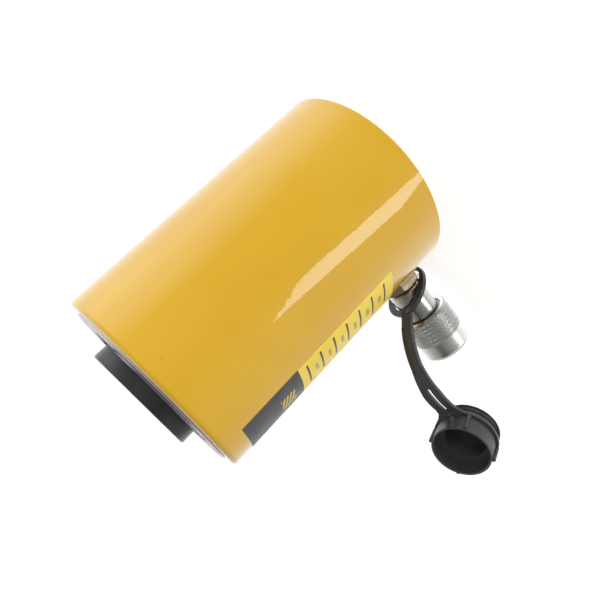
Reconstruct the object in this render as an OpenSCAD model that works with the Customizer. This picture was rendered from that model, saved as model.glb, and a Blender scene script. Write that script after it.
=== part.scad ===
// Two-stage telescopic hydraulic cylinder with a side-mounted quick coupler and a tethered dust cap.
// Millimetres. +Z is the lifting direction. The origin is the centre of the flat base face.
// The coupler axis points along -X from the barrel.

/* [Barrel] */
// outside diameter of the barrel
barrel_d = 128; // [124:1:134]
// height of the barrel body from the base to its top face
barrel_h = 181; // [176:1:200]
// bore of the barrel, which guides the first stage piston
barrel_bore = 95; // [93:0.5:96]
// thickness of the barrel's closed end
floor_t = 28; // [28:1:34]
// radius of the rounded top edge
edge_r = 3; // [1.5:0.5:4]
// diameter of the threaded stop ring seen in the barrel mouth
stop_ring_d = 113.6; // [110:0.2:114]
// height of the stop ring's threaded seat in the barrel
stop_ring_h = 24; // [22:1:30]

/* [Base mounting] */
// bolt circle of the threaded holes in the base
base_pcd = 95; // [85:1:100]
// tapping diameter of the base holes
base_hole_d = 10.2; // [8:0.1:12]
// depth of the base holes
base_hole_depth = 19; // [12:1:20]

/* [Stages] */
// outside diameter of the first stage tube
stage1_d = 85; // [83:0.5:86]
// bore of the first stage tube, which guides the second stage piston
stage1_bore = 71; // [70:0.5:72]
// outside diameter of the second stage plunger
stage2_d = 60; // [58:0.5:61]
// diameter of the removable saddle
saddle_d = 68.4; // [66:0.2:70]
// height of the saddle above the plunger end
saddle_h = 8.8; // [7:0.2:12]

/* [Coupler] */
// height of the port axis above the base
port_z = 20; // [20:0.5:22]
// outside diameter of the coupler's neck
neck_d = 24; // [23.6:0.1:24.4]
// outside diameter of the coupler's collar
collar_d = 35; // [34.6:0.1:35.4]
// length of the collar
collar_len = 32; // [31:0.5:34]
// length of the knurled grip on the collar
knurl_len = 19; // [16:0.5:21]
// threaded socket radius inside the collar
socket_r = 14.8; // [14.5:0.1:15]
// how far the check valve poppet can be pushed in
poppet_stroke = 4; // [3:0.5:4]

/* [Dust cap and tether] */
// angle of the tether about the coupler axis, measured from straight up
tether_roll = 31.6; // [0:0.2:60]
// lean of the loop around the neck, its top side outward
loop_lean = 27; // [20:1:28]
// outside diameter of the loop around the neck
loop_d = 36.5; // [36:0.5:38]
// thickness of the tether strap
strap_t = 2.4; // [2:0.1:2.8]
// width of the plain part of the strap
strap_w = 7.5; // [7:0.5:8.5]
// bending radius of the strap
strap_bend = 44.5; // [43:0.5:46]
// outside diameter of the dust cap's skirt
cap_d = 38.8; // [38.6:0.1:40]
// length of the dust cap's skirt in front of its tether groove
cap_skirt = 14.5; // [13:0.5:16]

/* [Label] */
// thickness of the label wrapped on the barrel
label_t = 0.15; // [0.1:0.05:0.3]
// length of the label along the barrel
label_len = 120.5; // [90:0.5:125]

/* [Hidden] */
$fn = 96;
eps = 0.01;
br = barrel_d/2;
bore_r = barrel_bore/2;
ring_r = stop_ring_d/2;
ring_z = barrel_h - stop_ring_h;          // shoulder under the stop ring
ring_top = barrel_h + 0.8;
s1_r = stage1_d/2;
s1_bore = stage1_bore/2;
s1_z = floor_t + 0.6;                     // underside of the first stage piston
s1_piston_h = 26;
s1_top = barrel_h;
s1_floor = s1_z + 10;
s2_r = stage2_d/2;
s2_z = s1_floor + 0.6;
s2_piston_h = 22;
gland_h = 17.5;
gland_z = s1_top - gland_h;
gland_r = s1_bore + 2.5;
s2_top = ring_top + 0.8;                  // plunger end carries the saddle just clear of the ring
spigot_r = 13;
run = 0.05;                               // radial running clearance of seals and guides
gap = 0.3;                                // radial clearance of steel beside steel

// coupler stations, measured outward from the barrel axis along -X
spot_h = br - 2;                          // spot face on the barrel
hex_af = 24;
hex_0 = spot_h + 1.5;
hex_1 = hex_0 + 7.5;
neck_r = neck_d/2;
neck_0 = hex_1 + 1.2;
collar_r = collar_d/2;
collar_0 = 95;
collar_1 = collar_0 + collar_len;
lip_0 = collar_0 + 3;
lip_1 = lip_0 + 3;
flange_0 = lip_1 + 0.4;
flange_1 = flange_0 + 4.6;
nose_1 = flange_1 + 3;
port_r = 8.3;
oil_r = 3.5;

// tether stations: x is along the coupler axis, s is the distance from it
loop_x = -76.5;
loop_hole_r = neck_r + 0.9;
arc_a0 = atan(tan(loop_lean)*cos(tether_roll));   // the loop's lean seen in the tether plane
arc_a1 = 101;
root = 26;                                // straight run from the loop's centre to the bend
flex = 22.6;                              // flexing section, measured the same way
arc_start = [loop_x - root*sin(arc_a0), root*cos(arc_a0)];
arc_c = [arc_start[0] - strap_bend*cos(arc_a0), arc_start[1] - strap_bend*sin(arc_a0)];
arc_end = [arc_c[0] + strap_bend*cos(arc_a1), arc_c[1] + strap_bend*sin(arc_a1)];
after = 8;                                // straight run after the bend
elbow = [arc_end[0] - after*sin(arc_a1), arc_end[1] + after*cos(arc_a1)];
cap_a = 81.8;                             // the strap turns back to this angle and ends in the cap's ring
tail = 22.5;                              // from the elbow to the centre of the ring
cap_c = [elbow[0] - tail*sin(cap_a), elbow[1] + tail*cos(cap_a)];
knuckle_r = strap_t/2 - 0.05;
cap_r = cap_d/2;
cap_bore = cap_r - 1.5;
groove_r = 15.5;
slot_w = 2.6;
strap_wide = strap_w + 5;
thread_0 = 110;                           // inner end of the collar's thread

// ---------- helpers ----------
// tube between two heights
module tube(r_out, r_in, z0, z1) {
  difference() {
    translate([0, 0, z0]) cylinder(r = r_out, h = z1 - z0);
    translate([0, 0, z0 - 1]) cylinder(r = r_in, h = z1 - z0 + 2);
  }
}
// cylinder between two heights
module rod(r, z0, z1) translate([0, 0, z0]) cylinder(r = r, h = z1 - z0);
// cone between two heights
module taper(r0, r1, z0, z1) translate([0, 0, z0]) cylinder(r1 = r0, r2 = r1, h = z1 - z0);
// places children on the coupler axis: local +Z points out along -X
module on_port() translate([0, 0, port_z]) rotate([0, -90, 0]) children();
// places children in the tether plane: local X as the row, local Z away from the coupler axis
module in_tether() translate([0, 0, port_z]) rotate([tether_roll, 0, 0]) children();
// places children on the dust cap's axis: local +Z is the way its mouth faces
module on_cap() in_tether() translate([cap_c[0], 0, cap_c[1]]) rotate([0, 90 - cap_a, 0]) children();

// ---------- barrel ----------
module barrel_profile() {
  difference() {
    union() {
      translate([0, 1]) square([br, barrel_h - edge_r - 1]);
      square([br - 1, 2]);
      square([br - edge_r, barrel_h]);
      translate([br - edge_r, barrel_h - edge_r]) circle(r = edge_r);
      polygon([[br - 1.5, 0], [br - 1, 0], [br, 1], [br, 2], [br - 1.5, 2]]);
    }
    translate([-1, floor_t]) square([bore_r + 1, barrel_h]);
    translate([-1, ring_z]) square([ring_r + 1, barrel_h]);
    polygon([[ring_r - 1, barrel_h - 0.8], [ring_r, barrel_h - 0.8], [ring_r + 0.9, barrel_h + 0.1], [ring_r - 1, barrel_h + 0.1]]);
  }
}
module barrel() color([0.84, 0.62, 0.16]) difference() {
  rotate_extrude() barrel_profile();
  // threaded base holes
  for (a = [45 : 90 : 315]) rotate([0, 0, a]) translate([base_pcd/2, 0, -1]) cylinder(d = base_hole_d, h = base_hole_depth + 1);
  // spot face, port thread and oil way
  on_port() {
    rod(16.5, spot_h, br + 5);
    rod(port_r, 44, br);
    rod(oil_r, 36, 46);
  }
  translate([-38, 0, port_z]) cylinder(r = oil_r, h = floor_t - port_z + 1);
}
module stop_ring() color([0.66, 0.61, 0.58]) difference() {
  union() {
    rod(ring_r, ring_z, ring_top - 0.8);
    taper(ring_r, ring_r - 0.8, ring_top - 0.8, ring_top);
  }
  rod(s1_r + gap, ring_z - 1, ring_top + 1);
  // seats of the guide ring and of the wiper
  rod(s1_r + 2.5, ring_z + 3, ring_z + 13);
  rod(s1_r + 4, ring_top - 8, ring_top - 2);
  // spanner notches in the top inner edge
  for (a = [0 : 90 : 270]) rotate([0, 0, a + 45]) translate([s1_r - 2, -3.5, ring_top - 2.2]) cube([6.5, 7, 4]);
}
module stage_1_bearing_ring() color([0.62, 0.45, 0.2]) tube(s1_r + 2.5, s1_r + run, ring_z + 3, ring_z + 13);
module stage_1_wiper() color([0.12, 0.12, 0.13]) difference() {
  tube(s1_r + 4, s1_r + run, ring_top - 8, ring_top - 2.4);
  taper(s1_r + run, s1_r + 2.2, ring_top - 4.4, ring_top - 2.3);
}

// ---------- first stage ----------
module stage_1_tube() color([0.72, 0.72, 0.74]) difference() {
  union() {
    taper(bore_r - gap - 1.2, bore_r - gap, s1_z, s1_z + 1.2);
    rod(bore_r - gap, s1_z + 1.2, s1_z + s1_piston_h);
    rod(s1_r, s1_z + s1_piston_h - 1, s1_top - 0.8);
    taper(s1_r, s1_r - 0.8, s1_top - 0.8, s1_top);
  }
  rod(12, s1_z - 1, s1_floor + 1);
  rod(s1_bore, s1_floor, s1_top + 1);
  rod(gland_r, gland_z, s1_top + 1);
  // seal and guide grooves of the piston
  tube(bore_r + 5, bore_r - 5.5, s1_z + 6, s1_z + 13.5);
  tube(bore_r + 5, bore_r - 2.5, s1_z + 17, s1_z + 23);
}
module stage_1_piston_seal() color([0.1, 0.16, 0.3]) tube(bore_r - run, bore_r - 5.5, s1_z + 6, s1_z + 12);
module stage_1_backup_ring() color([0.85, 0.84, 0.78]) tube(bore_r - run - 0.05, bore_r - 5.5, s1_z + 12, s1_z + 13.5);
module stage_1_guide_band() color([0.62, 0.45, 0.2]) tube(bore_r - run, bore_r - 2.5, s1_z + 17, s1_z + 23);
module stage_2_gland() color([0.6, 0.58, 0.56]) difference() {
  rod(gland_r, gland_z, s1_top - 0.3);
  rod(s2_r + gap, gland_z - 1, s1_top + 1);
  rod(s2_r + 2, gland_z + 2.5, gland_z + 9);
  rod(s2_r + 3.2, s1_top - 6.3, s1_top + 1);
}
module stage_2_bearing_ring() color([0.62, 0.45, 0.2]) tube(s2_r + 2, s2_r + run, gland_z + 2.5, gland_z + 9);
module stage_2_wiper() color([0.12, 0.12, 0.13]) difference() {
  tube(s2_r + 3.2, s2_r + run, s1_top - 6.3, s1_top - 0.8);
  taper(s2_r + run, s2_r + 2, s1_top - 2.9, s1_top - 0.7);
}

// ---------- second stage ----------
module stage_2_plunger() color([0.75, 0.75, 0.77]) difference() {
  union() {
    taper(s1_bore - gap - 1, s1_bore - gap, s2_z, s2_z + 1);
    rod(s1_bore - gap, s2_z + 1, s2_z + s2_piston_h);
    rod(s2_r, s2_z + s2_piston_h - 1, s2_top);
  }
  // lightening bore from below and the saddle's seat from above
  rod(15, s2_z - 1, s2_z + 80);
  rod(spigot_r + run, s2_top - 14, s2_top + 1);
  tube(s1_bore + 5, s1_bore - 4.7, s2_z + 4, s2_z + 10.5);
  tube(s1_bore + 5, s1_bore - 2.3, s2_z + 13.5, s2_z + 19);
}
module stage_2_piston_seal() color([0.1, 0.16, 0.3]) tube(s1_bore - run, s1_bore - 4.7, s2_z + 4, s2_z + 9.2);
module stage_2_backup_ring() color([0.85, 0.84, 0.78]) tube(s1_bore - run - 0.05, s1_bore - 4.7, s2_z + 9.2, s2_z + 10.5);
module stage_2_guide_band() color([0.62, 0.45, 0.2]) tube(s1_bore - run, s1_bore - 2.3, s2_z + 13.5, s2_z + 19);
module saddle() color([0.09, 0.09, 0.1]) difference() {
  union() {
    rod(saddle_d/2, s2_top, s2_top + saddle_h - 0.6);
    taper(saddle_d/2, saddle_d/2 - 0.6, s2_top + saddle_h - 0.6, s2_top + saddle_h);
    rod(spigot_r, s2_top - 12, s2_top + 1);
  }
  // groove of the retaining ring
  tube(spigot_r + 3, spigot_r - 1.8, s2_top - 7.2, s2_top - 5);
  // shallow grip rings on the load face
  for (r = [10 : 6 : 28]) tube(r + 0.6, r - 0.6, s2_top + saddle_h - 0.7, s2_top + saddle_h + 1);
}
module saddle_o_ring() color([0.1, 0.1, 0.1]) rotate_extrude() translate([spigot_r - 0.86, s2_top - 6.1]) circle(r = 0.9);

// ---------- port adapter and quick coupler ----------
module port_seal_washer() color([0.7, 0.42, 0.25]) on_port() tube(12, port_r + 0.2, spot_h, hex_0);
module port_adapter() color([0.72, 0.66, 0.52]) on_port() difference() {
  union() {
    taper(port_r - 1, port_r, 46, 47);
    rod(port_r, 47, hex_0 + 1);
    // hexagon with chamfered corners
    intersection() {
      translate([0, 0, hex_0]) cylinder(d = hex_af/cos(30), h = hex_1 - hex_0, $fn = 6);
      union() {
        taper(hex_af/2 - 0.2, hex_af/2 + 3, hex_0, hex_0 + 1.85);
        rod(hex_af/2 + 3, hex_0 + 1.85, hex_1 - 1.85);
        taper(hex_af/2 + 3, hex_af/2 - 0.2, hex_1 - 1.85, hex_1);
      }
    }
    rod(port_r - 1, hex_1 - 1, hex_1 + 2);
    rod(port_r, hex_1 + 2, hex_1 + 15);
  }
  rod(oil_r, 40, hex_1 + 20);
}
module adapter_o_ring() color([0.1, 0.1, 0.1]) on_port() tube(9.6, port_r - 1, hex_1, neck_0);
module coupler_body() color([0.78, 0.79, 0.8]) on_port() difference() {
  union() {
    taper(neck_r - 1, neck_r, neck_0, neck_0 + 1);
    rod(neck_r, neck_0 + 1, flange_0);
    rod(socket_r - 0.5, flange_0, flange_1);
    rod(10.5, flange_1 - 1, nose_1 - 0.8);
    taper(10.5, 9.7, nose_1 - 0.8, nose_1);
  }
  rod(port_r, neck_0 - 1, neck_0 + 15.5);
  rod(7, neck_0 + 15, nose_1 - 5.4);
  taper(7, 4.6, nose_1 - 5.4, nose_1 - 3);
  rod(4.6, nose_1 - 3.1, nose_1 + 1);
  // snap ring groove and a decorative turned groove
  tube(neck_r + 3, neck_r - 0.8, collar_0 + 1.4, collar_0 + 2.6);
  tube(neck_r + 3, neck_r - 0.4, neck_0 + 4, neck_0 + 5);
}
module spring_guide() color([0.6, 0.6, 0.6]) on_port() tube(6.95, 2.6, neck_0 + 16.3, neck_0 + 18.3);
module coupler_poppet() color([0.7, 0.6, 0.35]) on_port() {
  difference() {
    union() {
      taper(6.5, 4.35, nose_1 - 5.2, nose_1 - 3);
      rod(6.5, nose_1 - 8, nose_1 - 5.2);
      rod(4.35, nose_1 - 3.1, nose_1 - 0.4);
      rod(2.3, neck_0 + 15, nose_1 - 7);
    }
    tube(9, 5.4, nose_1 - 7.2, nose_1 - 6);
  }
}
module poppet_seal() color([0.1, 0.1, 0.1]) on_port() tube(6.6, 5.4, nose_1 - 7.2, nose_1 - 6);
// coil spring built from short straight lengths of wire
module poppet_spring() color([0.5, 0.5, 0.52]) on_port() {
  turns = 4; steps = 12; r = 5; wire = 0.45;
  z0 = neck_0 + 18.3 + wire + 0.1; z1 = nose_1 - 8 - wire - 0.1;
  n = turns*steps;
  for (i = [0 : n - 1]) {
    a = 360*i/steps; b = 360*(i + 1)/steps;
    hull() {
      translate([r*cos(a), r*sin(a), z0 + (z1 - z0)*i/n]) sphere(r = wire, $fn = 8);
      translate([r*cos(b), r*sin(b), z0 + (z1 - z0)*(i + 1)/n]) sphere(r = wire, $fn = 8);
    }
  }
}
module collar_snap_ring() color([0.55, 0.55, 0.56]) on_port() difference() {
  tube(neck_r + 1.3, neck_r - 0.8, collar_0 + 1.4, collar_0 + 2.6);
  translate([0, -1.5, collar_0]) cube([20, 3, 5]);
}
module coupler_collar() color([0.72, 0.72, 0.71]) on_port() difference() {
  union() {
    taper(collar_r - 0.8, collar_r - 0.15, collar_0, collar_0 + 0.65);
    rod(collar_r - 0.15, collar_0 + 0.65, collar_0 + knurl_len);
    rod(collar_r, collar_0 + knurl_len, collar_1 - 2);
    taper(collar_r, collar_r - 2, collar_1 - 2, collar_1);
  }
  rod(neck_r + 1.9, collar_0 - 1, lip_0);
  rod(neck_r + gap, collar_0 - 1, lip_1 + 1);
  rod(socket_r + 0.4, lip_1, thread_0);
  rod(socket_r, lip_1, collar_1 + 1);
  taper(socket_r, socket_r + 1.2, collar_1 - 1.1, collar_1 + 0.1);
}

// ---------- tether and dust cap ----------
// places children on the straight root of the strap: local +Z runs from the loop's centre towards the bend
module on_root() in_tether() translate([loop_x, 0, 0]) rotate([0, -arc_a0, 0]) children();
// loop that sits loosely round the neck, its top side leaning outward, with the root of the strap
module tether_loop() color([0.1, 0.1, 0.11]) difference() {
  union() {
    translate([loop_x, 0, port_z]) rotate([0, 90 - loop_lean, 0]) translate([0, 0, -strap_t/2]) cylinder(d = loop_d, h = strap_t);
    on_root() translate([-strap_t/2, -strap_w/2, loop_d/2 - 3.5]) cube([strap_t, strap_w, flex - loop_d/2 + 3.5]);
  }
  on_port() {
    rod(loop_hole_r, 60, 100);
    rod(hex_af/2/cos(30) + 0.4, 55, hex_1 + 0.5);
  }
  on_root() translate([0, strap_w/2 + 1, flex]) rotate([90, 0, 0]) cylinder(r = knuckle_r + 0.08, h = strap_w + 2);
}
// sector of a ring about the centre of the strap's bend
module sector(r0, r1, a0, a1) intersection() {
  difference() { circle(r = r1); circle(r = r0); }
  polygon([[0, 0], [90*cos(a0), 90*sin(a0)], [90*cos((a0 + a1)/2), 90*sin((a0 + a1)/2)], [90*cos(a1), 90*sin(a1)]]);
}
// side view of the strap: the straight root and flat end are a hair thinner than the bend
module strap_side() {
  translate(arc_c) {
    sector(strap_bend - strap_t/2, strap_bend + strap_t/2, arc_a0, arc_a1);
    rotate(arc_a0) translate([strap_bend - strap_t/2 + 0.1, flex - root]) square([strap_t - 0.2, root - flex + 0.5]);
  }
  // flat end with a mitred elbow
  h = strap_t/2 - 0.1;
  m = h/cos((arc_a1 - cap_a)/2);
  b = (arc_a1 + cap_a)/2;
  e = [arc_end[0] + 0.5*sin(arc_a1), arc_end[1] - 0.5*cos(arc_a1)];
  f = [cap_c[0] - 24*sin(cap_a), cap_c[1] + 24*cos(cap_a)];
  n1 = [cos(arc_a1), sin(arc_a1)];
  n2 = [cos(cap_a), sin(cap_a)];
  nb = [cos(b), sin(b)];
  polygon([e + h*n1, elbow + m*nb, f + h*n2, f - h*n2, elbow - m*nb, e - h*n1]);
}
// outline of the strap seen along the cap's axis: it widens, splits round a slot and closes in a ring
module strap_outline() {
  circle(r = 21);
  polygon([[110, strap_w/2], [62, strap_w/2], [40, strap_wide/2], [27, strap_wide/2], [23, strap_wide/2 + 0.7], [18, 10.5], [12, 17], [0, 12],
           [0, -12], [12, -17], [18, -10.5], [23, -strap_wide/2 - 0.7], [27, -strap_wide/2], [40, -strap_wide/2], [62, -strap_w/2], [110, -strap_w/2]]);
}
module tether_strap() color([0.1, 0.1, 0.11]) union() {
  difference() {
    intersection() {
      in_tether() translate([0, 22, 0]) rotate([90, 0, 0]) linear_extrude(height = 44) strap_side();
      on_cap() translate([0, 0, -60]) linear_extrude(height = 90) strap_outline();
    }
    on_cap() translate([0, 0, -strap_t/2]) {
      translate([0, 0, -1]) cylinder(r = groove_r + 0.4, h = strap_t + 2);
      translate([21, -slot_w/2, -20]) cube([23, slot_w, 40]);
      for (x = [21, 44]) translate([x, 0, -20]) cylinder(d = slot_w, h = 40);
    }
  }
  // raised edges along the bend
  in_tether() for (s = [-1, 1]) translate([arc_c[0], s*(strap_w/2 - 0.8) + 0.7, arc_c[1]]) rotate([90, 0, 0])
    linear_extrude(height = 1.4) sector(strap_bend - strap_t/2 - 0.5, strap_bend + strap_t/2 + 0.5, arc_a0 + 2, 66);
  // rounded end at the flexing section
  on_root() translate([0, strap_w/2, flex]) rotate([90, 0, 0]) cylinder(r = knuckle_r, h = strap_w);
}
module dust_cap() color([0.09, 0.09, 0.1]) on_cap() difference() {
  union() {
    rod(cap_r, 1.6, cap_skirt - 0.5);
    taper(cap_r, cap_r - 0.5, cap_skirt - 0.5, cap_skirt);
    rod(groove_r, -2, 2);
    // rear flange with turned ridges
    taper(19.8, 20.4, -3.4, -1.6);
    rod(19, -4.7, -3.3);
    taper(19.4, 20.2, -6.2, -4.6);
    rod(18.8, -7.5, -6.1);
    rod(18.8, -9, -7.4);
    taper(18.6, 20, -10.4, -8.9);
    taper(16.5, 18.4, -12.4, -10.3);
    // grip ribs
    for (a = [53 : 90 : 323]) rotate([0, 0, a]) {
      translate([cap_r - 1, -1.25, 1.6]) cube([1.9, 2.5, cap_skirt - 3.4]);
      translate([cap_r + 0.7, 0, 1.6]) cylinder(r = 1.4, h = cap_skirt - 3.4);
      translate([cap_r + 0.7, 0, cap_skirt - 1.8]) cylinder(r1 = 1.4, r2 = 0.8, h = 0.7);
    }
  }
  rod(cap_bore, 3.2, cap_skirt + 1);
  rod(13.6, -9.5, 4);
  for (z = [5.4 : 2.4 : 10.2]) tube(cap_bore + 0.45, cap_bore - 1, z, z + 1);
  taper(cap_bore, cap_bore + 0.7, cap_skirt - 0.7, cap_skirt + 0.02);
}
module cap_gasket() color([0.16, 0.16, 0.17]) on_cap() rod(13.5, -9.5, -7.5);

// ---------- label ----------
module label() color([0.9, 0.84, 0.3]) translate([0, 0, 46]) intersection() {
  tube(br + label_t, br, 0, label_len);
  rotate([0, 0, -160]) linear_extrude(height = label_len)
    polygon([[0, 0], [90, 0], [90*cos(18)*1.1, 90*sin(18)*1.1], [90*cos(36), 90*sin(36)]]);
}

barrel();
stop_ring();
stage_1_bearing_ring();
stage_1_wiper();
stage_1_tube();
stage_1_piston_seal();
stage_1_backup_ring();
stage_1_guide_band();
stage_2_gland();
stage_2_bearing_ring();
stage_2_wiper();
stage_2_plunger();
stage_2_piston_seal();
stage_2_backup_ring();
stage_2_guide_band();
saddle();
saddle_o_ring();
port_seal_washer();
port_adapter();
adapter_o_ring();
coupler_body();
spring_guide();
coupler_poppet();
poppet_seal();
poppet_spring();
collar_snap_ring();
coupler_collar();
tether_loop();
tether_strap();
dust_cap();
cap_gasket();
label();
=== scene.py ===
import math
import bmesh
import bpy
from mathutils import Matrix, Vector


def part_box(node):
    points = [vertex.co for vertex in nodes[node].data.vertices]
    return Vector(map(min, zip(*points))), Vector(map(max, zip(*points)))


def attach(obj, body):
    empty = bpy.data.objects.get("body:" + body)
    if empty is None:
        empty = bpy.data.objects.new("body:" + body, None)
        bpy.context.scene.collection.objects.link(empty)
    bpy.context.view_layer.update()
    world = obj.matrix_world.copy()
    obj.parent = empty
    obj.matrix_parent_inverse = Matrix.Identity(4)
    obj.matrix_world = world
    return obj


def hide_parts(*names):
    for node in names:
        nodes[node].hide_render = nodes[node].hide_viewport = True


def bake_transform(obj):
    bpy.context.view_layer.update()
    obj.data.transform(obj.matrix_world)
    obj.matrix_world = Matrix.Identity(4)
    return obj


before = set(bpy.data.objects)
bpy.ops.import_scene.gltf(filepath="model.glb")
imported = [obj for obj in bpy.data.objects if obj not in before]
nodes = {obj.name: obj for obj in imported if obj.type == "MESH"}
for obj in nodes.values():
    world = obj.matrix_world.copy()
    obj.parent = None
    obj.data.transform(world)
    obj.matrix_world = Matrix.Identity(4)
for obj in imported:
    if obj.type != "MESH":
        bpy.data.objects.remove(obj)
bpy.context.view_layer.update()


# ------------------------------------------------------------------ shader helpers
def lin(h, k=1.0):
    """sRGB hex to a linear colour"""
    out = []
    for i in (0, 2, 4):
        c = int(h[i:i + 2], 16) / 255
        out.append((c / 12.92 if c <= 0.04045 else ((c + 0.055) / 1.055) ** 2.4) * k)
    return tuple(out) + (1.0,)


class Mat:
    """A node material. Every pattern is in object space, in metres, at real scale."""

    def __init__(self, name):
        self.mat = bpy.data.materials.new(name)
        self.mat.use_nodes = True
        self.t = self.mat.node_tree
        self.p = next(n for n in self.t.nodes if n.type == "BSDF_PRINCIPLED")
        self.co = self.t.nodes.new("ShaderNodeTexCoord").outputs["Object"]

    def new(self, kind, **props):
        n = self.t.nodes.new(kind)
        for k, v in props.items():
            setattr(n, k, v)
        return n

    def link(self, a, b):
        self.t.links.new(a, b)

    def put(self, socket, v):
        if isinstance(v, bpy.types.NodeSocket):
            self.link(v, socket)
        else:
            socket.default_value = v

    def math(self, op, a, b=None, c=None, clamp=False):
        n = self.new("ShaderNodeMath", operation=op, use_clamp=clamp)
        self.put(n.inputs[0], a)
        if b is not None:
            self.put(n.inputs[1], b)
        if c is not None:
            self.put(n.inputs[2], c)
        return n.outputs[0]

    def vmath(self, op, a, b=None, scale=None, out="Vector"):
        n = self.new("ShaderNodeVectorMath", operation=op)
        self.put(n.inputs[0], a)
        if b is not None:
            self.put(n.inputs[1], b)
        if scale is not None:
            self.put(n.inputs["Scale"], scale)
        return n.outputs[out]

    def noise(self, scale, detail=2.0, rough=0.5, vec=None, distort=0.0):
        n = self.new("ShaderNodeTexNoise")
        n.inputs["Scale"].default_value = scale
        n.inputs["Detail"].default_value = detail
        n.inputs["Roughness"].default_value = rough
        n.inputs["Distortion"].default_value = distort
        self.link(vec or self.co, n.inputs["Vector"])
        return n.outputs[0]

    def voronoi(self, scale, vec=None):
        n = self.new("ShaderNodeTexVoronoi")
        n.inputs["Scale"].default_value = scale
        self.link(vec or self.co, n.inputs["Vector"])
        return n.outputs["Distance"]

    def ramp(self, fac, stops):
        n = self.new("ShaderNodeValToRGB")
        el = n.color_ramp.elements
        while len(el) < len(stops):
            el.new(0.5)
        for e, (pos, col) in zip(el, stops):
            e.position = pos
            e.color = col if len(col) == 4 else tuple(col) + (1.0,)
        self.link(fac, n.inputs["Fac"])
        return n.outputs["Color"]

    def span(self, fac, lo, hi, f0=0.0, f1=1.0):
        n = self.new("ShaderNodeMapRange")
        self.link(fac, n.inputs["Value"])
        n.inputs["From Min"].default_value = f0
        n.inputs["From Max"].default_value = f1
        n.inputs["To Min"].default_value = lo
        n.inputs["To Max"].default_value = hi
        return n.outputs["Result"]

    def mix(self, fac, a, b):
        n = self.new("ShaderNodeMix", data_type="RGBA")
        self.put(n.inputs["Factor"], fac)
        self.put(n.inputs[6], a)
        self.put(n.inputs[7], b)
        return n.outputs[2]

    def bump(self, height, dist, strength=1.0, under=None):
        n = self.new("ShaderNodeBump")
        n.inputs["Strength"].default_value = strength
        n.inputs["Distance"].default_value = dist
        self.link(height, n.inputs["Height"])
        if under is not None:
            self.link(under, n.inputs["Normal"])
        return n.outputs["Normal"]

    def turned(self, at, axis):
        """(radius, distance along the axis, 0) about an axis: turning marks follow it"""
        v = self.vmath("SUBTRACT", self.co, tuple(at))
        d = self.vmath("DOT_PRODUCT", v, tuple(axis), out="Value")
        along = self.vmath("SCALE", tuple(axis), scale=d)
        r = self.vmath("LENGTH", self.vmath("SUBTRACT", v, along), out="Value")
        n = self.new("ShaderNodeCombineXYZ")
        self.link(r, n.inputs[0])
        self.link(d, n.inputs[1])
        return n.outputs[0]

    def base(self, v):
        self.put(self.p.inputs["Base Color"], v)

    def rough(self, v):
        self.put(self.p.inputs["Roughness"], v)

    def normal(self, v):
        self.link(v, self.p.inputs["Normal"])

    def set(self, **kw):
        for k, v in kw.items():
            self.p.inputs[k.replace("_", " ")].default_value = v


def varied(m, col, amount, scale, detail=3.0):
    lo = tuple(c * (1 - amount) for c in col[:3]) + (1.0,)
    hi = tuple(min(1, c * (1 + amount)) for c in col[:3]) + (1.0,)
    return m.ramp(m.noise(scale, detail), [(0.3, lo), (0.7, hi)])


def turned_metal(name, col, rough=0.25, at=(0, 0, 0), axis=(0, 0, 1), marks=2.5e-6, pitch=2600, metallic=1.0, amount=0.07, spots=0.0):
    m = Mat(name)
    v = m.turned(at, axis)
    rings = m.noise(pitch, 2.0, 0.6, v)
    wide = m.noise(pitch / 9, 2.0, 0.5, v)
    base = varied(m, col, amount, 45)
    base = m.mix(m.span(rings, 0.0, 0.22, 0.35, 0.75), base, tuple(c * 0.8 for c in col[:3]) + (1.0,))
    if spots:
        s = m.span(m.noise(420, 4, 0.65), 0, spots, 0.58, 0.72)
        base = m.mix(s, base, tuple(c * 0.45 for c in col[:3]) + (1.0,))
    m.base(base)
    m.rough(m.math("ADD", m.span(wide, rough * 0.75, rough * 1.3, 0.3, 0.7), m.span(m.noise(90, 4), -0.03, 0.05, 0.3, 0.7)))
    m.normal(m.bump(m.noise(1800, 3), marks * 0.6, 0.6, m.bump(rings, marks, 1.0)))
    m.set(Metallic=metallic)
    return m.mat


def moulded(name, col, rough=0.42, grain=1400, depth=1.2e-5, amount=0.12, spec=0.45):
    m = Mat(name)
    base = varied(m, col, amount, 70)
    dust = m.span(m.noise(260, 5, 0.7), 0.0, 0.16, 0.52, 0.8)
    base = m.mix(dust, base, tuple(min(1, c * 1.9 + 0.012) for c in col[:3]) + (1.0,))
    m.base(base)
    m.rough(m.span(m.noise(120, 4), rough - 0.07, rough + 0.09, 0.3, 0.7))
    m.normal(m.bump(m.noise(grain, 4, 0.6), depth, 0.55, m.bump(m.noise(180, 2), depth * 5, 0.35)))
    m.set(IOR=1.5)
    m.p.inputs["Specular IOR Level"].default_value = spec
    return m.mat


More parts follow.
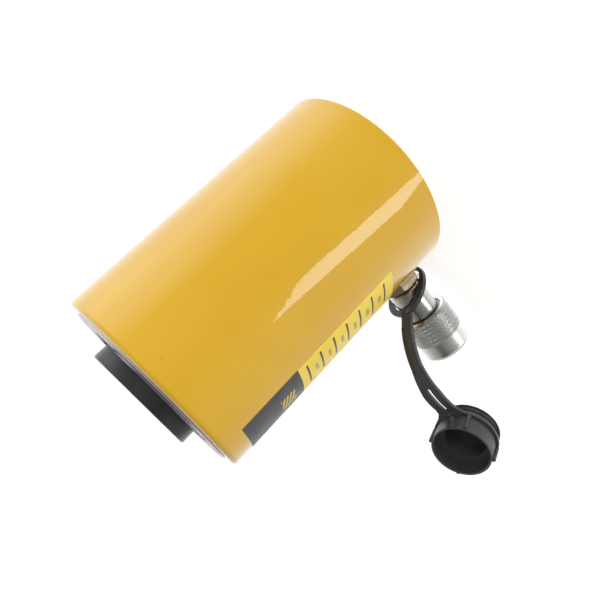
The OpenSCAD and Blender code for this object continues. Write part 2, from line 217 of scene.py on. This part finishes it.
# ------------------------------------------------------------------ materials
def paint():
    m = Mat("barrel_enamel")
    v = m.new("ShaderNodeSeparateXYZ")
    m.link(m.co, v.inputs[0])
    radial = m.math("SQRT", m.math("ADD", m.math("MULTIPLY", v.outputs[0], v.outputs[0]), m.math("MULTIPLY", v.outputs[1], v.outputs[1])))
    body = m.ramp(m.noise(14, 3), [(0.25, lin("D6A51E", 0.95)), (0.5, lin("D9AA23", 0.95)), (0.8, lin("DDAF2C", 0.95))])
    # a few fine inclusions in the enamel
    cell = m.voronoi(34)
    speck = m.math("LESS_THAN", cell, m.span(m.noise(21, 0), -0.012, 0.045, 0.5, 0.72))
    body = m.mix(m.math("MULTIPLY", speck, 0.55), body, lin("8A6A22"))
    # painted highlight: a pale band on the rim's rounded edge, broken up by noise
    rim_highlight_band = m.math("MULTIPLY", m.span(v.outputs[2], 0, 1, 0.1788, 0.1812), m.span(radial, 1, 0, 0.0622, 0.0634))
    rim_highlight_breakup = m.span(m.noise(330, 4, 0.65), 0, 1, 0.50, 0.66)
    body = m.mix(m.math("MULTIPLY", m.math("MULTIPLY", rim_highlight_band, rim_highlight_breakup), 0.35, clamp=True), body, lin("E0C480"))
    m.base(body)
    m.rough(m.span(m.noise(60, 2), 0.33, 0.37, 0.3, 0.7))
    peel = m.bump(m.noise(520, 2, 0.45), 1.6e-5, 0.8)
    m.normal(m.bump(m.noise(65, 2, 0.4), 4.5e-5, 0.6, peel))
    m.set(IOR=1.3)
    m.p.inputs["Coat Weight"].default_value = 1.0
    m.p.inputs["Coat Roughness"].default_value = 0.03
    m.p.inputs["Coat IOR"].default_value = 1.5
    coat = m.bump(m.noise(260, 2, 0.4), 4.0e-5, 0.8)
    m.link(coat, m.p.inputs["Coat Normal"])
    return m.mat


def film():
    """printed label: plain fields and plain bars only"""
    m = Mat("label_print")
    v = m.new("ShaderNodeSeparateXYZ")
    m.link(m.co, v.inputs[0])
    x, y, z = v.outputs
    az = m.math("MULTIPLY", m.math("ARCTAN2", y, x), 180 / math.pi)      # -160 .. -124
    mm = m.math("MULTIPLY", z, 1000.0)

    def within(a, lo, hi):
        return m.math("MULTIPLY", m.math("GREATER_THAN", a, lo), m.math("LESS_THAN", a, hi))

    yellow = m.ramp(m.noise(40, 3), [(0.3, lin("F2D03E")), (0.7, lin("F7D850"))])
    black = m.ramp(m.noise(55, 4), [(0.3, lin("353536")), (0.7, lin("434344"))])
    ink = within(mm, 124.5, 170)
    # seven plain graduation bars
    step = 10.8
    phase = m.math("MODULO", m.math("ADD", mm, -53.2), step)
    bars = m.math("MULTIPLY", within(phase, 0.0, 1.3), within(mm, 52, 121))
    bars = m.math("MULTIPLY", bars, within(az, -145, -127))
    # short generic dashes between the bars
    dash = m.math("MULTIPLY", within(phase, 4.3, 6.6), within(mm, 52, 121))
    tick = m.math("MODULO", m.math("ADD", az, 200.0), 1.5)
    dash = m.math("MULTIPLY", m.math("MULTIPLY", dash, within(az, -139.5, -132.5)), within(tick, 0.0, 0.95))
    ink = m.math("MAXIMUM", ink, m.math("MAXIMUM", bars, m.math("MULTIPLY", dash, 0.75)))
    col = m.mix(ink, yellow, black)
    # a plain block of stripes in the black field
    stripe = m.math("LESS_THAN", m.math("MODULO", m.math("ADD", mm, m.math("MULTIPLY", az, 0.35)), 2.6), 1.4)
    block = m.math("MULTIPLY", m.math("MULTIPLY", within(mm, 131, 141.5), within(az, -146, -134)), stripe)
    col = m.mix(block, col, lin("D8B93A"))
    m.base(col)
    m.rough(m.span(m.noise(150, 3), 0.34, 0.46, 0.3, 0.7))
    m.normal(m.bump(m.noise(700, 3), 6e-6, 0.6, m.bump(m.noise(45, 2), 4e-5, 0.4)))
    m.set(IOR=1.5)
    return m.mat


def knurled():
    m = Mat("collar_zinc")
    v = m.turned((0, 0, 0.02), (-1, 0, 0))
    rings = m.noise(2400, 2, 0.6, v)
    base = varied(m, lin("F1F1ED"), 0.03, 60)
    # painted shade: grey darkening in the bottoms of the knurl
    sep = m.new("ShaderNodeSeparateXYZ")
    m.link(m.co, sep.inputs[0])
    up = m.math("SUBTRACT", sep.outputs[2], 0.02)
    far = m.math("SQRT", m.math("ADD", m.math("MULTIPLY", sep.outputs[1], sep.outputs[1]), m.math("MULTIPLY", up, up)))
    knurl_valley_shade = m.math("MULTIPLY", m.span(far, 1, 0, 0.01700, 0.01730), m.math("GREATER_THAN", sep.outputs[0], -0.1142))
    knurl_valley_shade = m.math("MULTIPLY", knurl_valley_shade, m.math("GREATER_THAN", far, 0.0165))
    base = m.mix(m.math("MULTIPLY", knurl_valley_shade, 0.6), base, lin("6E6E69"))
    m.base(base)
    m.rough(m.math("ADD", m.span(rings, 0.24, 0.34, 0.3, 0.7), m.span(m.noise(160, 4), -0.03, 0.07, 0.35, 0.7)))
    m.normal(m.bump(rings, 2.2e-6, 1.0))
    m.set(Metallic=1.0)
    return m.mat


PORT = dict(at=(0, 0, 0.02), axis=(-1, 0, 0))
mats = {
    "paint": paint(),
    "bare": turned_metal("bare_turned_steel", lin("C9C0BA"), 0.36, marks=4e-6, spots=0.35),
    "bore": turned_metal("honed_steel", lin("BDBBB8"), 0.22, marks=1.6e-6),
    "chrome": turned_metal("ground_chrome", lin("D6D7DA"), 0.12, marks=1.0e-6, amount=0.03),
    "zinc": turned_metal("plated_steel", lin("D2D1CC"), 0.17, marks=2.2e-6, amount=0.05, spots=0.2, **PORT),
    # the tan tint of the plated hexagon is a painted reflection of the yellow barrel on plated steel
    "hex": turned_metal("plated_hexagon_painted_reflection", lin("9C8E77"), 0.42, marks=3.5e-6, amount=0.08, spots=0.3, **PORT),
    "spring": turned_metal("spring_wire", lin("A9A9AC"), 0.28, marks=2e-6, spots=0.3, **PORT),
    "bronze": turned_metal("bearing_bronze", lin("B58E55"), 0.33, marks=4e-6, spots=0.35),
    "saddle": None,
    "rubber": moulded("nitrile_black", lin("2F2F31"), 0.5, grain=1800),
    "urethane": moulded("urethane_seal", lin("5B7E8C"), 0.33, grain=1500, depth=6e-6),
    "ptfe": moulded("ptfe_ring", lin("D9D6CB"), 0.38, grain=900, depth=6e-6, amount=0.04),
    "plastic": moulded("moulded_black", lin("3B3B3E"), 0.4, grain=1300, depth=1.3e-5),
    "collar": knurled(),
    "label": film(),
}


def blackened():
    m = Mat("black_oxide_steel")
    v = m.turned((0, 0, 0), (0, 0, 1))
    rings = m.noise(2300, 2, 0.6, v)
    base = m.ramp(m.noise(70, 4, 0.6), [(0.3, lin("343333")), (0.7, lin("474545"))])
    rub = m.span(m.noise(520, 5, 0.7), 0, 0.3, 0.58, 0.78)
    base = m.mix(rub, base, lin("6A6766"))
    m.base(base)
    m.rough(m.math("ADD", m.span(rings, 0.26, 0.36, 0.3, 0.7), m.span(m.noise(120, 4), -0.03, 0.06, 0.3, 0.7)))
    m.normal(m.bump(rings, 3.0e-6, 1.0))
    m.set(Metallic=0.55)
    return m.mat


mats["saddle"] = blackened()

finish = {
    "barrel": "paint", "stop_ring": "bare", "stage_1_bearing_ring": "bronze", "stage_1_wiper": "urethane",
    "stage_1_tube": "chrome", "stage_1_piston_seal": "urethane", "stage_1_backup_ring": "ptfe",
    "stage_1_guide_band": "bronze", "stage_2_gland": "bare", "stage_2_bearing_ring": "bronze",
    "stage_2_wiper": "urethane", "stage_2_plunger": "chrome", "stage_2_piston_seal": "urethane",
    "stage_2_backup_ring": "ptfe", "stage_2_guide_band": "bronze", "saddle": "saddle",
    "saddle_o_ring": "rubber", "port_seal_washer": "hex", "port_adapter": "hex", "adapter_o_ring": "rubber",
    "coupler_body": "zinc", "spring_guide": "zinc", "coupler_poppet": "bronze", "poppet_seal": "rubber",
    "poppet_spring": "spring", "collar_snap_ring": "spring", "coupler_collar": "collar",
    "tether_loop": "plastic", "tether_strap": "plastic", "dust_cap": "plastic", "cap_gasket": "rubber",
    "label": "label",
}
for name, key in finish.items():
    o = nodes[name]
    o.data.materials.clear()
    o.data.materials.append(mats[key])

# the bore, the bolt holes, the spot face and the port are bare metal inside the painted barrel
b = nodes["barrel"]
b.data.materials.append(mats["bore"])
for f in b.data.polygons:
    c, n = f.center, f.normal
    r = math.hypot(c.x, c.y)
    inward = c.x * n.x + c.y * n.y < -1e-6
    if (r < 0.0572 and (c.z > 0.02 or inward or abs(n.z) < 0.5)) or (c.z > 0.001 and r < 0.0572) or \
            (c.x < -0.0 and abs(n.x) > 0.999 and abs(c.y) < 0.0165 and abs(c.z - 0.02) < 0.0165 and abs(c.x + 0.062) < 0.0006):
        f.material_index = 1


# ------------------------------------------------------------------ knurled collar
def collar_mesh():
    lo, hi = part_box("coupler_collar")
    end, near = -lo.x, -hi.x                     # 127 mm and 95 mm out along the coupler axis
    R = (hi.y - lo.y) / 2                        # smooth band
    zc = (hi.z + lo.z) / 2
    mmv = 0.001
    rk = R - 0.15 * mmv                          # crest of the knurl
    knurl_0, knurl_1 = near + 0.8 * mmv, near + 19.0 * mmv
    nt = 72                                      # diamonds round the collar
    seg = nt * 6
    rows = []                                    # (station, radius, knurl weight)
    inner = [(near, 13.9), (near + 3 * mmv, 13.9), (near + 3 * mmv, 12.3), (near + 6 * mmv, 12.3)]
    rows += [(near, R - 0.8 * mmv, 0), (near + 0.35 * mmv, R - 0.45 * mmv, 0), (knurl_0 - 0.1 * mmv, R - 0.3 * mmv, 0)]
    count = 84
    for i in range(count + 1):
        rows.append((knurl_0 + (knurl_1 - knurl_0) * i / count, rk, 1 if 0 < i < count else 0))
    rows += [(knurl_1 + 0.05 * mmv, rk - 0.12 * mmv, 0), (knurl_1 + 0.22 * mmv, rk - 0.12 * mmv, 0), (knurl_1 + 0.3 * mmv, R - 0.05 * mmv, 0), (knurl_1 + 0.38 * mmv, R, 0),
             (knurl_1 + 0.6 * mmv, R, 0), (end - 2.3 * mmv, R, 0), (end - 2.1 * mmv, R, 0), (end - 1.97 * mmv, R - 0.06 * mmv, 0), (end - 1.8 * mmv, R - 0.2 * mmv, 0),
             (end - 0.25 * mmv, R - 1.75 * mmv, 0), (end - 0.1 * mmv, R - 1.9 * mmv, 0), (end, R - 2.1 * mmv, 0)]
    # mouth, thread ridges and lip inside
    socket = 14.8 * mmv
    rows += [(end, socket + 1.15 * mmv, 0), (end - 1.1 * mmv, socket, 0)]
    s = end - 1.6 * mmv
    while s > near + 16.6 * mmv:
        rows += [(s, socket, 0), (s - 0.55 * mmv, socket + 0.6 * mmv, 0), (s - 0.8 * mmv, socket + 0.6 * mmv, 0), (s - 1.35 * mmv, socket, 0)]
        s -= 1.6 * mmv
    rows += [(near + 15 * mmv, socket, 0), (near + 15 * mmv, socket + 0.4 * mmv, 0), (near + 6 * mmv, socket + 0.4 * mmv, 0), (near + 6 * mmv, 12.3 * mmv, 0),
             (near + 3 * mmv, 12.3 * mmv, 0), (near + 3 * mmv, 13.9 * mmv, 0), (near + 0.3 * mmv, 13.9 * mmv, 0), (near, 14.2 * mmv, 0)]
    bm = bmesh.new()
    pitch = 2 * math.pi / nt
    lead = (knurl_1 - knurl_0) / 13.0            # length of one diamond
    rings = []
    for s, r, k in rows:
        ring = []
        for j in range(seg):
            a = 2 * math.pi * j / seg
            rr = r
            if k:
                u = a / pitch
                w = (s - knurl_0) / lead
                g1 = abs(((u + w) % 1.0) - 0.5) * 2
                g2 = abs(((u - w) % 1.0) - 0.5) * 2
                rr = r - 0.42 * mmv * max(0.0, 1 - 2.6 * min(1 - g1, 1 - g2)) ** 0.8 if min(1 - g1, 1 - g2) < 0.385 else r
            ring.append(bm.verts.new((-s, rr * math.cos(a), zc + rr * math.sin(a))))
        rings.append(ring)
    m = len(rings)
    for i in range(m):
        A, B = rings[i], rings[(i + 1) % m]
        for j in range(seg):
            k = (j + 1) % seg
            bm.faces.new((A[j], A[k], B[k], B[j]))
    bmesh.ops.recalc_face_normals(bm, faces=bm.faces)
    me = bpy.data.meshes.new("knurled_collar")
    bm.to_mesh(me)
    bm.free()
    o = bpy.data.objects.new("knurled_collar", me)
    bpy.context.scene.collection.objects.link(o)
    me.materials.append(mats["collar"])
    return o


collar = collar_mesh()
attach(collar, "collar")
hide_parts("coupler_collar")


def spring_mesh():
    """return spring of the coupler's valve: round wire, one continuous coil"""
    lo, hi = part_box("poppet_spring")
    wire = 0.00045
    r = (hi.y - lo.y) / 2 - wire
    yc, zc = (hi.y + lo.y) / 2, (hi.z + lo.z) / 2
    a0, a1 = hi.x - wire, lo.x + wire
    n, sides = 4 * 40, 10
    bm = bmesh.new()
    rings = []
    for i in range(n + 1):
        a = 2 * math.pi * 4 * i / n
        c = Vector((a0 + (a1 - a0) * i / n, yc + r * math.cos(a), zc + r * math.sin(a)))
        out_ = Vector((0, math.cos(a), math.sin(a)))
        rings.append([bm.verts.new(c + (out_ * math.cos(b) + Vector((1, 0, 0)) * math.sin(b)) * wire * 0.98)
                      for b in (2 * math.pi * k / sides for k in range(sides))])
    for A, B in zip(rings, rings[1:]):
        for k in range(sides):
            bm.faces.new((A[k], A[(k + 1) % sides], B[(k + 1) % sides], B[k]))
    bm.faces.new(rings[0])
    bm.faces.new(rings[-1][::-1])
    bmesh.ops.recalc_face_normals(bm, faces=bm.faces)
    for f in bm.faces:
        f.smooth = len(f.verts) == 4
    me = bpy.data.meshes.new("valve_spring")
    bm.to_mesh(me)
    bm.free()
    o = bpy.data.objects.new("valve_spring", me)
    bpy.context.scene.collection.objects.link(o)
    me.materials.append(mats["spring"])
    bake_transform(o)
    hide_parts("poppet_spring")


spring_mesh()

# smooth shading with crisp machined edges
for o in list(nodes.values()) + [collar]:
    o.data.shade_smooth()
    o.data.set_sharp_from_angle(angle=math.radians(24))
    wn = o.modifiers.new("face_weighted_normals", "WEIGHTED_NORMAL")
    wn.mode = "FACE_AREA"
    wn.weight = 60
    wn.keep_sharp = True

# ------------------------------------------------------------------ floor, light, camera
bm = bmesh.new()
bmesh.ops.create_circle(bm, cap_ends=True, segments=96, radius=6.0)
for v in bm.verts:
    v.co.z = -0.0004
me = bpy.data.meshes.new("floor")
bm.to_mesh(me)
bm.free()
floor = bpy.data.objects.new("floor", me)
bpy.context.scene.collection.objects.link(floor)
fm = bpy.data.materials.new("floor_white")
fm.use_nodes = True
p = fm.node_tree.nodes["Principled BSDF"]
p.inputs["Base Color"].default_value = (0.5, 0.5, 0.5, 1)
p.inputs["Roughness"].default_value = 0.9
p.inputs["Specular IOR Level"].default_value = 0.0
p.inputs["Emission Color"].default_value = (1, 1, 1, 1)
p.inputs["Emission Strength"].default_value = 0.78
me.materials.append(fm)
# the floor only shows itself: it neither blocks the low studio lights nor mirrors in the paint
floor.visible_glossy = False
floor.visible_shadow = False
floor.visible_diffuse = False

UP = Vector((0.729, 0.019, -0.684))              # upper side of the picture, in the part's frame
RIGHT = Vector((-0.617, -0.412, -0.670))
FRONT = Vector((0.295, -0.911, 0.289))


def area(name, at, look, sx, sy, power, up=UP, colour=(1, 1, 1)):
    li = bpy.data.lights.new(name, "AREA")
    li.shape = "RECTANGLE"
    li.size, li.size_y = sx, sy
    li.energy = power
    li.color = colour
    o = bpy.data.objects.new(name, li)
    z = (Vector(at) - Vector(look)).normalized()
    x = up.cross(z).normalized()
    y = z.cross(x)
    o.matrix_world = Matrix.Translation(Vector(at)) @ Matrix((x, y, z)).transposed().to_4x4()
    bpy.context.scene.collection.objects.link(o)
    o.visible_camera = False
    return o


def toward(right, up, front):
    return (RIGHT * right + UP * up + FRONT * front).normalized()


# strip softbox that draws the long streak on the enamel and the white band on the coupler
P1, P3 = Vector((-0.472, -1.430, -0.2875)), Vector((-0.681, -1.1315, -0.8095))
mid = (P1 + P3) / 2
area("softbox_strip", mid, (0, -0.05, 0.05), 0.33, (P1 - P3).length * 0.95, 2.9, up=(P1 - P3).normalized())
# soft key from the upper left of the picture; it draws no highlight of its own
area("softbox_key", toward(-0.64, 0.74, 0.21) * 1.5, (0, 0, 0.12), 0.6, 1.0, 4.0, up=FRONT).visible_glossy = False
# frontal fill that draws no highlight of its own
area("softbox_front", FRONT * 1.2 + UP * 0.2 - RIGHT * 0.2, (0, 0, 0.09), 0.8, 0.8, 7.9).visible_glossy = False

# weak fill under the label's side
area("softbox_low", toward(0.75, -0.45, 0.5) * 1.2, (0, 0, 0.09), 0.7, 0.7, 3.2).visible_glossy = False

w = bpy.data.worlds.new("studio")
w.use_nodes = True
t = w.node_tree
t.nodes.clear()
out = t.nodes.new("ShaderNodeOutputWorld")
bg_cam = t.nodes.new("ShaderNodeBackground")
bg_cam.inputs["Color"].default_value = (1, 1, 1, 1)
bg_cam.inputs["Strength"].default_value = 1.0
bg_lit = t.nodes.new("ShaderNodeBackground")
tc = t.nodes.new("ShaderNodeTexCoord")
dot = t.nodes.new("ShaderNodeVectorMath")
dot.operation = "DOT_PRODUCT"
dot.inputs[1].default_value = tuple(FRONT)
t.links.new(tc.outputs["Generated"], dot.inputs[0])
mr = t.nodes.new("ShaderNodeMapRange")
mr.interpolation_type = "SMOOTHSTEP"
mr.inputs["From Min"].default_value = -0.45
mr.inputs["From Max"].default_value = 0.75
mr.inputs["To Min"].default_value = 1.15
mr.inputs["To Max"].default_value = 0.30
t.links.new(dot.outputs["Value"], mr.inputs["Value"])
low = t.nodes.new("ShaderNodeVectorMath")
low.operation = "DOT_PRODUCT"
low.inputs[1].default_value = tuple(UP)
t.links.new(tc.outputs["Generated"], low.inputs[0])
m2 = t.nodes.new("ShaderNodeMapRange")
m2.interpolation_type = "SMOOTHSTEP"
m2.inputs["From Min"].default_value = -0.95
m2.inputs["From Max"].default_value = -0.35
m2.inputs["To Min"].default_value = 0.38
m2.inputs["To Max"].default_value = 1.0
t.links.new(low.outputs["Value"], m2.inputs["Value"])
mul = t.nodes.new("ShaderNodeMath")
mul.operation = "MULTIPLY"
t.links.new(mr.outputs["Result"], mul.inputs[0])
t.links.new(m2.outputs["Result"], mul.inputs[1])
# bright upper left, fading without an edge
side = t.nodes.new("ShaderNodeVectorMath")
side.operation = "DOT_PRODUCT"
side.inputs[1].default_value = tuple(toward(-0.64, 0.74, 0.21))
t.links.new(tc.outputs["Generated"], side.inputs[0])
m3 = t.nodes.new("ShaderNodeMapRange")
m3.interpolation_type = "SMOOTHSTEP"
m3.inputs["From Min"].default_value = 0.78
m3.inputs["From Max"].default_value = 1.0
m3.inputs["To Min"].default_value = 0.0
m3.inputs["To Max"].default_value = 0.8
t.links.new(side.outputs["Value"], m3.inputs["Value"])
both = t.nodes.new("ShaderNodeMath")
both.operation = "ADD"
t.links.new(mul.outputs[0], both.inputs[0])
t.links.new(m3.outputs["Result"], both.inputs[1])
t.links.new(both.outputs[0], bg_lit.inputs["Strength"])
bg_lit.inputs["Color"].default_value = (1, 1, 1, 1)
lp = t.nodes.new("ShaderNodeLightPath")
mx = t.nodes.new("ShaderNodeMixShader")
t.links.new(lp.outputs["Is Camera Ray"], mx.inputs[0])
t.links.new(bg_lit.outputs[0], mx.inputs[1])
t.links.new(bg_cam.outputs[0], mx.inputs[2])
t.links.new(mx.outputs[0], out.inputs[0])
scene = bpy.context.scene
scene.world = w
scene.view_settings.view_transform = "Standard"
scene.view_settings.look = "None"
scene.view_settings.exposure = 0.0

cam_data = bpy.data.cameras.new("camera")
cam_data.sensor_fit = "HORIZONTAL"
cam_data.sensor_width = 36.0
cam_data.lens = 36.64
cam_data.clip_start = 0.01
cam = bpy.data.objects.new("camera", cam_data)
scene.collection.objects.link(cam)
c0 = (-0.61734955, -0.41203715, -0.67015290)
c1 = (0.72942138, 0.01926553, -0.68379331)
c2 = (0.29465910, -0.91096335, 0.28865514)
cam.matrix_world = Matrix(((c0[0], c1[0], c2[0], 0.08528296),
                           (c0[1], c1[1], c2[1], -0.34582848),
                           (c0[2], c1[2], c2[2], 0.19107435),
                           (0, 0, 0, 1)))
scene.camera = cam
